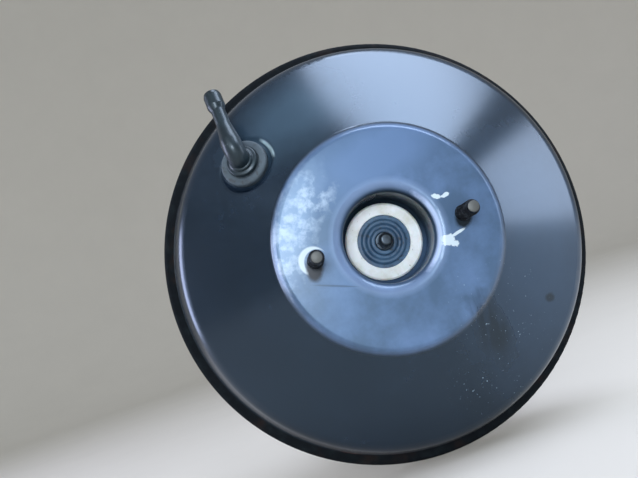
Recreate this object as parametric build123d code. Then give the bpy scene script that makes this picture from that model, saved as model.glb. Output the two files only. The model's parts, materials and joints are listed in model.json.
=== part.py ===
"""Vacuum brake booster, single diaphragm, nominal 9 inch.

The booster's axis runs along Y. The bulkhead side faces +Y, the master-cylinder side faces -Y and +Z is up.
The origin is the centre of the bulkhead mounting face. Lengths are in millimetres.
"""

from build123d import *
from math import atan2, cos, degrees, radians, sin
import os

# ---- driving dimensions ------------------------------------------------------------------------
DEPTH = 94.0  # bulkhead face to master-cylinder face
SHEET = 1.6  # pressed steel shells
SHELL_R = 118.0  # outside of the drum
RIM_R = 126.0  # outside of the crimped rim
RIM_FRONT_Y = -36.0  # front face of the crimped rim
FIT = 0.05  # radial clearance of a running fit

FRONT_Y = -DEPTH
PLATEAU_R = 58.0  # raised master-cylinder face
PLATEAU_STEP = 4.5  # its height over the cone's inner end
CONE_OUTER_R, CONE_OUTER_DEPTH = 113.5, 34.5  # where the cone meets the drum's shoulder
POCKET_R, POCKET_DEPTH = 23.8, 27.0  # takes the master cylinder's spigot
SEAL_HOLE_R = 16.5

MC_STUD_SPACING, MC_STUD_OUT = 80.0, 22.0
REAR_STUD_SPACING, REAR_STUD_OUT = 72.0, 24.0
STUD_R = 4.0  # M8
STUD_SHOULDER_R = 4.3  # pressed into the sheet
STUD_HEAD_R, STUD_HEAD_H = 6.8, 4.0
PLATE_T = 2.5  # front reinforcement plate
REAR_PLATE_T = 2.0

TABS, TAB_WIDTH, TAB_REACH = 16, 9.0, 6.6  # lances of the front rim, bent over the rear shell
BEAD_T = 3.0  # diaphragm's clamped bead

NECK_R, NECK_OUT, NECK_LIP_R = 27.5, 20.0, 22.5
MOUNT_FLAT_R = 63.0
HUB_R = 20.0  # the valve body's rear tube
HUB_BORE_R = 17.0
HUB_END_Y = 54.0

ROD_R = 5.0  # output rod
PLUNGER_TRAVEL = 1.5

VALVE_ANGLE = 133.0  # check valve, from +X towards +Z
VALVE_R, VALVE_DEPTH = 86.1, 21.9
VALVE_TILT = 20.0  # of the grommet's pad, outwards
PAD_R, PAD_RIM, GROMMET_HOLE_R, STUB_R = 16.5, 2.5, 9.0, 6.5
BEND_R, NECKED_R, BARB_R, NIPPLE_BORE_R = 5.6, 3.9, 5.0, 2.7
NIPPLE_HEIGHT, NIPPLE_REACH, BEND_ROUNDING = 14.0, 41.0, 6.6
BARB_FROM_END, BARB_LENGTH = 8.6, 6.6  # where the hose grips
NIPPLE_TURN = -37.2  # nipple's direction in the pad's plane, from the outward radial

KEY_Y, KEY_T, KEY_WIDTH, KEY_REACH = -2.9, 2.0, 22.0, 30.0  # stop key, across the hub
KEY_FORK_R, KEY_GROOVE_R = 7.4, 7.2

BALL_Y, BALL_R = -9.0, 6.0  # input rod's ball joint
INPUT_ROD_R, INPUT_NECK_R = 4.75, 4.0
THREAD_R = 5.0  # M10
EYE_Y, EYE_R = 120.0, 5.05

RETURN_WIRE_R = 2.0


# ---- helpers -----------------------------------------------------------------------------------
def outline(corners):
    """A closed face from (radius, y) corners; a third value rounds that corner."""
    radii = [corner[2] if len(corner) > 2 else 0 for corner in corners]
    points = [(corner[0], corner[1]) for corner in corners]
    return make_face(FilletPolyline(*points, radius=radii, close=True))


def turned(*corners):
    """A solid turned about the booster's axis."""
    return revolve(outline(corners), Axis.Y)


def ring(inner_r, outer_r, y0, y1):
    return turned((inner_r, y0), (outer_r, y0), (outer_r, y1), (inner_r, y1))


def disc(radius, y0, y1):
    return ring(0, radius, y0, y1)


def along_y(x, z, y0=0.0, facing=1):
    """A plane at (x, y0, z) whose Z runs along +Y or, with facing -1, along -Y."""
    return Plane(origin=(x, y0, z), x_dir=(1, 0, 0), z_dir=(0, facing, 0))


def rod(plane, radius, low, high):
    """A cylinder on a plane's Z axis, from low to high."""
    return plane * Pos(0, 0, (low + high) / 2) * Cylinder(radius, high - low)


def coil(radius, wire_r, y0, y1, turns, end_radius=None):
    """A compression spring of round wire between two seats, cylindrical or tapering to end_radius."""
    low, high = y0 + wire_r + 0.1, y1 - wire_r - 0.1
    taper = degrees(atan2((end_radius or radius) - radius, high - low))
    path = Helix((high - low) / turns, high - low, radius, (0, low, 0), (0, 1, 0), taper)
    section = Plane(origin=path @ 0, z_dir=path % 0) * Circle(wire_r)
    return sweep(section, path=path, is_frenet=True)


# ---- shells ------------------------------------------------------------------------------------
def front_outline():
    """The front shell's air side, closed inside and past the rim."""
    floor_y = FRONT_Y + POCKET_DEPTH
    return outline([
        (0, floor_y),
        (POCKET_R, floor_y, 3.0),
        (POCKET_R, FRONT_Y, 5.5),
        (PLATEAU_R, FRONT_Y, 3.0),
        (PLATEAU_R + 3.0, FRONT_Y + PLATEAU_STEP, 3.5),
        (CONE_OUTER_R, FRONT_Y + CONE_OUTER_DEPTH, 11.0),
        (SHELL_R, RIM_FRONT_Y - 10.0, 8.0),
        (SHELL_R, RIM_FRONT_Y, 2.0),
        (RIM_R, RIM_FRONT_Y, 2.4),
        (RIM_R, 0),
        (0, 0),
    ])


def pad_plane():
    """The grommet's pad: Z points out of the pad, X outwards from the booster's axis."""
    turn, tilt = radians(VALVE_ANGLE), radians(VALVE_TILT)
    across = Vector(cos(turn), 0, sin(turn))
    return Plane(
        origin=across * VALVE_R + Vector(0, FRONT_Y + VALVE_DEPTH, 0),
        x_dir=across * cos(tilt) + Vector(0, sin(tilt), 0),
        z_dir=across * sin(tilt) - Vector(0, cos(tilt), 0),
    )


def pad_tool(thickness):
    """What a flat, round pad with a rounded foot takes away from the cone, at a depth of sheet."""
    radius, foot = PAD_R + thickness, 3.0 + thickness
    face = outline([(0, -thickness), (radius, -thickness, foot), (radius, 20), (0, 20)])
    return pad_plane() * Rot(X=90) * revolve(face, Axis.Y)


def rounded_rim(side, radius):
    """Rounds the rim of the pad's recess, the only edges of a turned side that aren't circles."""
    return fillet(side.edges().filter_by(GeomType.BSPLINE), radius)


def crimp_tabs(rim_end_y):
    """Lances of the rim's skirt, bent inwards over the rear shell's flange."""
    tab = outline([
        (RIM_R - SHEET, rim_end_y - 2 * SHEET),
        (RIM_R, rim_end_y - 2 * SHEET),
        (RIM_R, rim_end_y + SHEET, 2.0),
        (RIM_R - TAB_REACH, rim_end_y + SHEET),
        (RIM_R - TAB_REACH, rim_end_y),
        (RIM_R - SHEET, rim_end_y),
    ])
    width = degrees(TAB_WIDTH / RIM_R)
    one = revolve(tab, Axis.Y, width)
    return [Rot(Y=360 * i / TABS) * one for i in range(TABS)]


def rim_end_y():
    """Rear face of the rear shell's flange, where the front shell's skirt ends."""
    return RIM_FRONT_Y + SHEET + BEAD_T + SHEET


def front_shell():
    air_side = front_outline()
    outer = revolve(air_side, Axis.Y) - pad_tool(0)
    inner = revolve(offset(air_side, -SHEET), Axis.Y) - pad_tool(SHEET)
    shell = rounded_rim(outer, PAD_RIM) - rounded_rim(inner, PAD_RIM - SHEET)
    shell -= disc(SEAL_HOLE_R, FRONT_Y, 10)
    shell -= disc(RIM_R + 5, rim_end_y(), 10)
    shell -= rod(pad_plane(), GROMMET_HOLE_R, -10, 10)
    for side in (-1, 1):
        shell -= rod(along_y(side * MC_STUD_SPACING / 2, 0), STUD_SHOULDER_R, FRONT_Y - 1, FRONT_Y + 5)
    return shell + crimp_tabs(rim_end_y())


def rear_shell():
    """Dished rear shell: bulkhead face, neck for the valve body and a flange under the crimp."""
    flange_y = rim_end_y()
    air_side = outline([
        (0, NECK_OUT),
        (NECK_R, NECK_OUT, 3.0),
        (NECK_R, 0, 2.0),
        (MOUNT_FLAT_R, 0, 4.0),
        (MOUNT_FLAT_R + 4.0, -7.0, 4.0),
        (108.0, -15.0, 12.0),
        (SHELL_R - SHEET, -22.0, 6.0),
        (SHELL_R - SHEET, flange_y, 2.0),
        (RIM_R + 20, flange_y),
        (RIM_R + 20, -90),
        (0, -90),
    ])
    shell = revolve(air_side, Axis.Y) - revolve(offset(air_side, -SHEET), Axis.Y)
    shell &= ring(NECK_LIP_R, RIM_R - SHEET - 0.1, flange_y - SHEET, NECK_OUT)
    for x, z in rear_stud_places():
        shell -= rod(along_y(x, z), STUD_SHOULDER_R, -5, 5)
    return shell


def rear_stud_places():
    half = REAR_STUD_SPACING / 2
    return [(x, z) for x in (-half, half) for z in (-half, half)]


def front_reinforcement_plate():
    """Stiffens the master-cylinder face from inside; its raised rim centres the return spring."""
    y = FRONT_Y + SHEET
    plate = turned(
        (34.5, y), (54.5, y, 1.0), (54.5, y + 6.5), (53.0, y + 6.5),
        (53.0, y + PLATE_T), (34.5, y + PLATE_T),
    )
    for side in (-1, 1):
        plate -= rod(along_y(side * MC_STUD_SPACING / 2, 0), STUD_SHOULDER_R, y - 1, y + 5)
    return plate


def rear_reinforcement_plate():
    plate = ring(31.5, 60.0, -SHEET - REAR_PLATE_T, -SHEET)
    for x, z in rear_stud_places():
        plate -= rod(along_y(x, z), STUD_SHOULDER_R, -10, 0)
    return plate


def stud(place, grip, out):
    """A pressed-in stud: head inside, shoulder in the plates, thread outside with a pilot tip."""
    tip = 3.0
    shoulder = rod(place, STUD_SHOULDER_R, -grip, 0)
    shank = rod(place, STUD_R, 0, out - tip)
    pilot = rod(place, STUD_R - 1.0, out - tip, out)
    shank = chamfer(shank.edges().group_by(lambda e: (e.center() - place.origin).length)[-1], 0.6)
    return shank + pilot + shoulder + rod(place, STUD_HEAD_R, -grip - STUD_HEAD_H, -grip)


def master_cylinder_studs():
    grip = SHEET + PLATE_T
    places = [along_y(side * MC_STUD_SPACING / 2, 0, FRONT_Y, -1) for side in (-1, 1)]
    return [stud(place, grip, MC_STUD_OUT) for place in places]


def bulkhead_studs():
    grip = SHEET + REAR_PLATE_T
    return [stud(along_y(x, z), grip, REAR_STUD_OUT) for x, z in rear_stud_places()]


# ---- seals of the front shell ------------------------------------------------------------------
def front_seal():
    """Rubber seal of the output rod: a clamped flange, two convolutions and a lip round the rod."""
    floor_y = FRONT_Y + POCKET_DEPTH
    lip_r = ROD_R + FIT
    return turned(
        (lip_r, floor_y - 4.2, 0.4),
        (7.2, floor_y - 4.2, 0.8),
        (7.2, floor_y - 1.6, 0.6),
        (9.2, floor_y - 1.6, 0.6),
        (10.2, floor_y - 3.0, 0.7),
        (11.6, floor_y - 3.0, 0.7),
        (12.6, floor_y - 1.4, 0.6),
        (20.7, floor_y - 1.4),
        (20.7, floor_y),
        (SEAL_HOLE_R, floor_y),
        (SEAL_HOLE_R, floor_y + SHEET + 0.8, 0.5),
        (14.0, floor_y + SHEET + 0.8, 0.5),
        (13.0, floor_y + 0.6, 0.5),
        (8.6, floor_y + 0.6, 0.5),
        (7.6, floor_y + 3.6, 0.6),
        (lip_r, floor_y + 3.6, 0.4),
    )


def seal_retaining_ring():
    """White plastic ring that holds the front seal against the pocket's floor."""
    y = FRONT_Y + POCKET_DEPTH - 1.4
    return turned((14.6, y - 1.6, 0.3), (20.4, y - 1.6, 0.8), (21.2, y - 0.8), (21.2, y), (14.6, y))


# ---- rear hub ----------------------------------------------------------------------------------
def hub_seal():
    """Lip seal between the neck and the valve body's tube."""
    lip_r, wall_r = HUB_R + FIT, NECK_R - SHEET
    return turned(
        (lip_r, 4.0), (lip_r, 6.0), (23.0, 8.6), (wall_r, 8.6),
        (wall_r, 2.6), (24.2, 2.6), (24.2, 6.4), (22.4, 6.4),
    )


def hub_bearing():
    """Plastic bush that guides the valve body, with grease grooves."""
    y0, y1, groove = 8.6, NECK_OUT - SHEET, 0.6
    inner_r, outer_r = HUB_R + FIT, NECK_R - SHEET
    bush = turned((inner_r, y0), (outer_r, y0), (outer_r, y1, 1.6), (inner_r, y1))
    for y in (y0 + 2.4, y0 + 5.4):
        bush -= ring(HUB_R, HUB_R + groove, y, y + 1.6)
    return bush


def hub_seal_retainer():
    """Spring-steel ring that grips the neck's wall; its inner edge has release notches."""
    retainer = turned((22.0, 0.4), (25.7, 0.4, 0.5), (25.7, 2.6), (24.9, 2.6), (24.9, 1.2), (22.0, 1.2))
    notch = Pos(22.0, 1.0, 0) * Box(2.4, 3, 2.4)
    return retainer - [Rot(Y=45 * i) * notch for i in range(8)]


def dust_boot():
    """Rubber bellows from the neck to the input rod, with narrowing ridges."""
    wall, lip_y, top_y = 1.6, 9.0, 78.0
    neck_r, rod_r = NECK_R + wall, INPUT_ROD_R + 0.25
    ridges, first_y, pitch = 4, 28.8, 8.2
    corners = [(0, lip_y - 5), (neck_r, lip_y - 5), (neck_r, NECK_OUT + 1.4, 1.0)]
    for i in range(ridges):
        y = first_y + pitch * i
        corners += [(24.6 - 0.3 * i, y - pitch / 2, 1.2), (31.0 - 1.2 * i, y, 1.9)]
    shoulder_y = first_y + pitch * (ridges - 0.5)
    cuff_r = rod_r + 3.6
    corners += [(23.2, shoulder_y, 1.6), (cuff_r, top_y - 9.0, 3.0), (cuff_r, top_y + 5), (0, top_y + 5)]
    air_side = outline(corners)
    boot = revolve(air_side, Axis.Y) - revolve(offset(air_side, -wall), Axis.Y)
    boot += ring(rod_r, cuff_r, top_y - 8.0, top_y)
    return boot & ring(rod_r, 40, lip_y, top_y)


# ---- power piston ------------------------------------------------------------------------------
def valve_body():
    """Moulded valve body: front boss for the reaction disc, flange, rear tube with the valve seat."""
    body = turned(
        (0, -33.0), (24.0, -33.0, 1.0), (24.0, -16.0), (36.0, -16.0, 1.0), (36.0, -11.0, 2.0),
        (HUB_R, -11.0, 2.0), (HUB_R, HUB_END_Y, 0.8), (0, HUB_END_Y),
    )
    body -= disc(12.0, -34.0, -23.0)
    body -= disc(6.5, -24.0, -14.0)
    body -= disc(10.0, -15.0, 10.0)
    body -= ring(12.8, HUB_BORE_R, 2.0, 10.0)
    body -= disc(HUB_BORE_R, 3.5, HUB_END_Y + 1)
    for i in range(4):
        body -= Rot(Y=45 + 90 * i) * rod(along_y(15.4, 0), 2.2, -34.0, 3.0)
    key_slot = Pos(0, KEY_Y, 0) * Box(2 * HUB_R + 4, KEY_T + 0.4, KEY_WIDTH + 0.4)
    body -= key_slot
    for i in range(6):
        body -= Rot(Y=30 + 60 * i) * Pos(30.5, -11.0, 0) * Box(7.0, 6.0, 5.0)
    return body


def stop_key():
    """Flat fork through the hub: limits the plunger and stops the piston on the rear shell."""
    blade = Pos(0, KEY_Y, 0) * Box(2 * KEY_REACH, KEY_T, KEY_WIDTH)
    blade &= disc(KEY_REACH, KEY_Y - 5, KEY_Y + 5)
    blade -= Pos(KEY_REACH / 2, KEY_Y, 0) * Box(KEY_REACH, KEY_T + 1, 2 * KEY_FORK_R)
    return blade - disc(KEY_FORK_R, KEY_Y - 5, KEY_Y + 5)


def diaphragm_plate():
    """Pressed support plate with a stiffening bead and a turned rim."""
    y, t = -18.0, 1.2
    return turned(
        (24.1, y), (60.0, y, 2.0), (64.0, y - 3.0, 2.0), (72.0, y - 3.0, 2.0), (76.0, y, 2.0),
        (100.0, y, 3.0), (100.0, y - 8.0), (100.0 - t, y - 8.0),
        (100.0 - t, y - t, 1.8), (75.5, y - t, 2.0), (71.5, y - 3.0 - t, 2.0), (64.5, y - 3.0 - t, 2.0),
        (60.5, y - t, 2.0), (24.1, y - t),
    )


def diaphragm():
    """Rubber diaphragm: clamped outer bead, rolling lobe and a flat web behind the plate."""
    bead_y = RIM_FRONT_Y + SHEET
    return turned(
        (24.1, -16.0), (24.1, -18.0), (101.0, -18.0, 1.5), (109.6, -33.8, 3.0), (117.5, -33.8),
        (117.5, bead_y), (RIM_R - SHEET - 0.1, bead_y, 1.0), (RIM_R - SHEET - 0.1, bead_y + BEAD_T),
        (117.5, bead_y + BEAD_T), (117.5, -32.0), (111.0, -32.0, 2.5), (102.0, -16.0, 3.0),
    )


def plate_retainer():
    """Push-on ring that clamps the plate; the return spring sits on it."""
    y = -19.2
    retainer = turned(
        (24.05, y), (38.0, y, 0.5), (38.0, y - 3.0), (37.0, y - 3.0), (37.0, y - 1.0), (24.05, y - 1.0),
    )
    notch = Pos(24.5, y, 0) * Box(3.0, 5.0, 3.0)
    return retainer - [Rot(Y=60 * i) * notch for i in range(6)]


def reaction_disc():
    return turned((0, -27.0), (11.9, -27.0, 0.4), (11.9, -23.0, 0.4), (0, -23.0))


def output_rod():
    """Headed output rod, bored for its adjuster."""
    shank_end = FRONT_Y + 22.0
    body = turned(
        (0, -27.0), (11.8, -27.0), (11.8, -31.0, 0.8), (7.0, -31.8, 0.6), (ROD_R, -32.8, 0.6),
        (ROD_R, shank_end, 0.5), (0, shank_end),
    )
    return body - disc(2.5, shank_end - 1, shank_end + 14.0)


def output_rod_clip():
    """Sheet cap that keeps the output rod's head in the valve body."""
    clip = turned((8.4, -34.2), (23.0, -34.2, 0.8), (23.0, -33.0), (8.4, -33.0))
    window = Pos(17.0, -33.6, 0) * Box(6.0, 4.0, 7.0)
    return clip - [Rot(Y=45 + 90 * i) * window for i in range(4)]


def output_rod_adjuster():
    """Adjusting screw in the output rod's end, with a hexagon and a domed tip."""
    shank_end = FRONT_Y + 22.0
    tip_y = FRONT_Y + 13.0
    dome = turned((0, tip_y), (3.2, tip_y, 1.6), (4.0, tip_y + 2.6), (4.0, tip_y + 3.6), (0, tip_y + 3.6))
    hexagon = along_y(0, 0, tip_y + 3.6) * extrude(RegularPolygon(4.2, 6), amount=shank_end - tip_y - 3.6)
    return dome + hexagon + disc(2.5, shank_end - 0.5, shank_end + 12.0)


def return_spring():
    """Conical main spring between the front reinforcement plate and the plate retainer."""
    return coil(50.0, RETURN_WIRE_R, FRONT_Y + SHEET + PLATE_T, -20.2, 5.5, end_radius=34.0)


# ---- control valve -----------------------------------------------------------------------------
def valve_plunger():
    """Control valve plunger: nose against the reaction disc, key groove, socket and air seat."""
    land_r = 10.0 - FIT
    front_y, rear_y = KEY_Y - KEY_T / 2 - 0.1, KEY_Y + KEY_T / 2 + 0.1 + PLUNGER_TRAVEL
    body = turned(
        (0, -21.4), (6.5 - FIT, -21.4, 0.6), (6.5 - FIT, -13.0), (land_r, -13.0, 0.4),
        (land_r, front_y), (KEY_GROOVE_R, front_y), (KEY_GROOVE_R, rear_y), (land_r, rear_y),
        (land_r, 3.2), (land_r, 4.0, 0.3), (0, 4.0),
    )
    socket = Pos(0, BALL_Y, 0) * Sphere(BALL_R + FIT)
    return body - socket - disc(BALL_R + FIT, BALL_Y, 5.0)


def poppet_valve():
    """Rubber poppet: a face ring that closes both seats, a folded sleeve and a clamped bead."""
    return turned(
        (7.4, 4.3), (15.6, 4.3, 0.4), (15.6, 6.4, 0.6), (13.2, 7.2, 0.4), (13.2, 12.2, 0.6), (16.9, 12.2),
        (16.9, 15.0), (12.0, 15.0), (12.0, 8.2, 0.4), (10.0, 6.6), (7.4, 6.6, 0.4),
    )


def poppet_retainer():
    """Pressed cup that clamps the poppet's bead and seats both small springs."""
    return turned(
        (9.0, 15.0), (16.9, 15.0), (16.9, 21.0), (16.2, 21.0), (16.2, 15.8, 0.5), (9.0, 15.8),
    )


def poppet_spring():
    return coil(8.6, 0.6, 6.6, 15.0, 3)


def input_rod_return_spring():
    return coil(14.6, 0.9, 15.8, 37.0, 4, end_radius=9.0)


def air_filter():
    return turned((8.2, 40.5, 0.5), (16.8, 40.5, 0.5), (16.8, 49.5, 0.5), (8.2, 49.5, 0.5))


def silencer():
    """Felt disc behind the filter."""
    return turned((8.6, 49.6), (16.8, 49.6), (16.8, 52.4), (8.6, 52.4))


def filter_retainer():
    """Snap-in washer with air slots."""
    washer = turned((10.0, 52.4), (16.95, 52.4), (16.95, 53.8, 0.4), (10.0, 53.8))
    slot = Pos(13.5, 53.0, 0) * Box(3.6, 4.0, 4.0)
    return washer - [Rot(Y=45 * i) * slot for i in range(8)]


# ---- input rod ---------------------------------------------------------------------------------
def input_rod():
    """Pedal rod: ball end, spring shoulder, shank and thread."""
    shank = turned(
        (0, BALL_Y), (INPUT_NECK_R, BALL_Y), (INPUT_NECK_R, 6.0, 2.0), (INPUT_ROD_R, 8.0, 2.0),
        (INPUT_ROD_R, 84.0), (THREAD_R, 84.4), (THREAD_R, 107.0, 0.8), (0, 107.0),
    )
    return shank + Pos(0, BALL_Y, 0) * Sphere(BALL_R)


def rod_spring_seat():
    """Stepped washer on the input rod that carries its return spring."""
    return turned(
        (INPUT_ROD_R, 37.0), (10.6, 37.0, 0.4), (10.6, 38.2, 0.4), (7.0, 38.2),
        (7.0, 39.6, 0.4), (INPUT_ROD_R, 39.6),
    )


def lock_nut():
    nut = along_y(0, 0, 92.0) * extrude(RegularPolygon(8.5, 6, major_radius=False), amount=6.0)
    crown = turned((0, 91.9), (8.6, 91.9), (9.9, 92.8), (9.9, 97.2), (8.6, 98.1), (0, 98.1))
    return (nut & crown) - disc(THREAD_R, 91, 99)


def clevis():
    """Fork with a round shank; the pedal's pin goes through both ears."""
    gap, ear_w, width, nose_r = 12.0, 5.0, 20.0, 10.0
    shank = turned((0, 98.2), (9.0, 98.2, 1.0), (9.0, 110.0), (0, 110.0))
    block = Pos(0, (107.0 + EYE_Y) / 2, 0) * Box(gap + 2 * ear_w, EYE_Y - 107.0, width)
    nose = Pos(0, EYE_Y, 0) * Rot(Y=90) * Cylinder(nose_r, gap + 2 * ear_w)
    fork = block + nose
    fork = fillet(fork.edges().filter_by(Axis.X).group_by(Axis.Y)[0], 2.0)
    fork -= Pos(0, 111.0 + 15.0, 0) * Box(gap, 30.0, width + 2)
    fork -= Pos(0, EYE_Y, 0) * Rot(Y=90) * Cylinder(EYE_R, 40)
    return fork + shank - disc(THREAD_R, 97, 108.0)


# ---- vacuum check valve ------------------------------------------------------------------------
def valve_turned(*corners):
    """A solid turned about the check valve's axis, from (radius, height over the pad) corners."""
    return pad_plane() * Rot(X=90) * revolve(outline(corners), Axis.Y)


def grommet():
    """Rubber grommet in the pad's hole."""
    return valve_turned(
        (STUB_R + FIT, -6.0), (10.6, -6.0, 1.2), (11.4, -SHEET, 0.6), (GROMMET_HOLE_R, -SHEET),
        (GROMMET_HOLE_R, 0), (13.0, 0, 0.5), (13.0, 3.6, 1.4), (10.0, 4.2, 0.6), (STUB_R + FIT, 4.2, 0.5),
    )


def nipple_line():
    """The nipple's start and end on the valve's own axes."""
    turn = radians(NIPPLE_TURN)
    direction = Vector(cos(turn), sin(turn), 0)
    start = Vector(0, 0, NIPPLE_HEIGHT)
    return start, direction


def check_valve_elbow():
    """Plastic elbow: stub in the grommet, collar, bend and a tapering hose nipple with a barb."""
    start, direction = nipple_line()
    stub = valve_turned(
        (0, -3.6), (STUB_R, -3.6), (STUB_R, 4.4), (8.6, 4.4, 0.5), (8.6, 6.8, 0.8), (6.6, 7.4, 0.8),
        (6.6, 9.0, 1.0), (0, 9.0),
    )
    path = FilletPolyline((0, 0, 7.0), start, start + direction * 9.0, radius=BEND_ROUNDING)
    bend = sweep(Plane(origin=(0, 0, 7.0)) * Circle(BEND_R), path=path)
    bore_path = FilletPolyline(
        (0, 0, 5.0), start, start + direction * (NIPPLE_REACH + 1), radius=BEND_ROUNDING
    )
    bore = sweep(Plane(origin=(0, 0, 5.0)) * Circle(NIPPLE_BORE_R), path=bore_path)
    line = Plane(origin=start, z_dir=direction)
    body = stub + pad_plane() * (bend + line * Rot(X=90) * nipple()) - pad_plane() * bore
    return body - valve_turned((0, -4), (4.8, -4), (4.8, 4.6), (NIPPLE_BORE_R, 6.0), (0, 6.0))


def nipple():
    """Straight end of the elbow, turned about Y: taper from the bend, neck, barb and lead-in."""
    barb_y = NIPPLE_REACH - BARB_FROM_END
    return turned(
        (0, 8.0), (BEND_R, 8.0), (BEND_R - 0.2, 10.0, 4.0), (NECKED_R, 20.0, 12.0),
        (NECKED_R, barb_y - 3.0, 2.0), (BARB_R, barb_y), (BARB_R, barb_y + BARB_LENGTH),
        (BARB_R - 0.6, NIPPLE_REACH, 0.3), (0, NIPPLE_REACH),
    )


def check_valve_seat():
    """Lower half of the valve case, snapped on behind the grommet, with the disc's seat."""
    return valve_turned(
        (2.4, -9.0), (6.4, -9.0, 0.6), (7.4, -7.0, 0.4), (7.4, -6.2), (STUB_R, -6.2), (STUB_R, -3.6),
        (4.8, -3.6), (4.8, -6.4), (2.4, -6.4),
    )


def check_valve_disc():
    """Rubber disc with a guide stem."""
    return valve_turned(
        (0, -6.2), (4.3, -6.2, 0.3), (4.3, -4.8, 0.3), (1.3, -4.8, 0.3), (1.3, -1.2, 0.3), (0, -1.2),
    )


def check_valve_spring():
    spring = coil(2.6, 0.35, -4.8, 4.0, 4)
    return pad_plane() * Rot(X=90) * spring


NODES = {
    "front_shell": front_shell,
    "rear_shell": rear_shell,
    "front_reinforcement_plate": front_reinforcement_plate,
    "rear_reinforcement_plate": rear_reinforcement_plate,
    "master_cylinder_studs": master_cylinder_studs,
    "bulkhead_studs": bulkhead_studs,
    "front_seal": front_seal,
    "seal_retaining_ring": seal_retaining_ring,
    "hub_seal": hub_seal,
    "hub_bearing": hub_bearing,
    "hub_seal_retainer": hub_seal_retainer,
    "dust_boot": dust_boot,
    "valve_body": valve_body,
    "stop_key": stop_key,
    "diaphragm_plate": diaphragm_plate,
    "diaphragm": diaphragm,
    "plate_retainer": plate_retainer,
    "reaction_disc": reaction_disc,
    "output_rod": output_rod,
    "output_rod_clip": output_rod_clip,
    "output_rod_adjuster": output_rod_adjuster,
    "return_spring": return_spring,
    "valve_plunger": valve_plunger,
    "poppet_valve": poppet_valve,
    "poppet_retainer": poppet_retainer,
    "poppet_spring": poppet_spring,
    "input_rod_return_spring": input_rod_return_spring,
    "air_filter": air_filter,
    "silencer": silencer,
    "filter_retainer": filter_retainer,
    "input_rod": input_rod,
    "rod_spring_seat": rod_spring_seat,
    "lock_nut": lock_nut,
    "clevis": clevis,
    "grommet": grommet,
    "check_valve_elbow": check_valve_elbow,
    "check_valve_seat": check_valve_seat,
    "check_valve_disc": check_valve_disc,
    "check_valve_spring": check_valve_spring,
}


def main():
    os.makedirs("parts", exist_ok=True)
    for name, build in NODES.items():
        made = build()
        pieces = made if isinstance(made, list) else [made]
        node = Compound(children=[solid for piece in pieces for solid in piece.solids()])
        export_step(node, f"parts/{name}.step")


if __name__ == "__main__":
    main()
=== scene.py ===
import json
import math

import bmesh
import bpy
from bpy.props import FloatProperty, FloatVectorProperty, IntProperty, PointerProperty
from mathutils import Matrix, Vector


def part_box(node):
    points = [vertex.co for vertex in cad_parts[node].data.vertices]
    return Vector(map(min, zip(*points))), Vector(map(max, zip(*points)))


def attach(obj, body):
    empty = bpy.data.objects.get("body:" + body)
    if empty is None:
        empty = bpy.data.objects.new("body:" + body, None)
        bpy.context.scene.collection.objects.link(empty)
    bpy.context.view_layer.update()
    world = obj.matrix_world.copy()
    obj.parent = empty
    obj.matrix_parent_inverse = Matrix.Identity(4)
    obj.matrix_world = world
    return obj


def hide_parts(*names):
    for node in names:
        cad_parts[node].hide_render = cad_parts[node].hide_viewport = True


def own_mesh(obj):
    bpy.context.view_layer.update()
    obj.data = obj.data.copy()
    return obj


bl_info = {
    "name": "Vacuum brake booster finish",
    "version": (1, 0, 0),
    "blender": (4, 5, 0),
    "location": "View3D > Sidebar > Booster",
    "description": "Dresses the packed brake booster: enamel, rubber, plated threads and a plain studio",
    "category": "Object",
}

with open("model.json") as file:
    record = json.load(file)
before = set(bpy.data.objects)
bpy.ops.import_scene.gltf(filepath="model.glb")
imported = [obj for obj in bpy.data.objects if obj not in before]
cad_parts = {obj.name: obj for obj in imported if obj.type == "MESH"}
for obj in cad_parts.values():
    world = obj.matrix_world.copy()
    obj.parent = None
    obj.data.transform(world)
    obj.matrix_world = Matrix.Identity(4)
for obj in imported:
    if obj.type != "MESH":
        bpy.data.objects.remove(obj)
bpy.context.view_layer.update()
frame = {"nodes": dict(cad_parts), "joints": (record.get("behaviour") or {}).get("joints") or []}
NODES = frame["nodes"]

# ---- sizes of the object, in millimetres ---------------------------------------------------------
MM = 0.001
FRONT_Y = -94.0  # raised face that the master cylinder bolts to
STEP_FOOT_R, FILM_END_Y = 61.0, -90.5  # foot of the step round that face, and where the film on it ends
LIP_R, POCKET_FLOOR_Y = 25.0, -67.0  # a circle on the pocket's rounded lip, and the pocket's floor
RIM_R = -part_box("front_shell")[0].z / MM  # outside of the crimped rim
SHELL_R = RIM_R - 8.0  # outside of the drum
RIM_FRONT_Y, RIM_CORNER, RIM_EDGE = -36.0, 2.0, 2.4  # its front face, inner corner and outer edge roundings
MC_STUDS = [(-40.0, 0.0), (40.0, 0.0)]
REAR_STUDS = [(x, z) for x in (-36.0, 36.0) for z in (-36.0, 36.0)]
STUD_R, STUD_SHOULDER_R, STUD_PILOT_R, STUD_TIP = 4.0, 4.3, 3.0, 3.0
MC_STUD_OUT, REAR_STUD_OUT = 22.0, 24.0
MC_STUD_GRIP, REAR_STUD_GRIP = 4.1, 3.6
STUD_HEAD_R, STUD_HEAD_H = 6.8, 4.0
SEAL_LIP_R, SEAL_HOLE_R, SEAL_FLANGE_R, SEAL_FLANGE_T = 5.05, 16.5, 20.7, 1.4
SWIVEL = next(joint for joint in frame["joints"] if joint["name"] == "elbow_swivel")
GROMMET_PLACE = Vector(SWIVEL["pos_m"]) / MM
GROMMET_AXIS = Vector(SWIVEL["axis"])
GROMMET_BORE_R, GROMMET_GROOVE_R, GROMMET_R, GROMMET_OUT = 6.55, 9.0, 13.0, 4.2
NECK_R, BOOT_LIP_Y, BOOT_FIXED_Y, BOOT_SHOULDER_Y, BOOT_TOP_Y = 27.5, 9.0, 21.4, 57.5, 78.0
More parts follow.
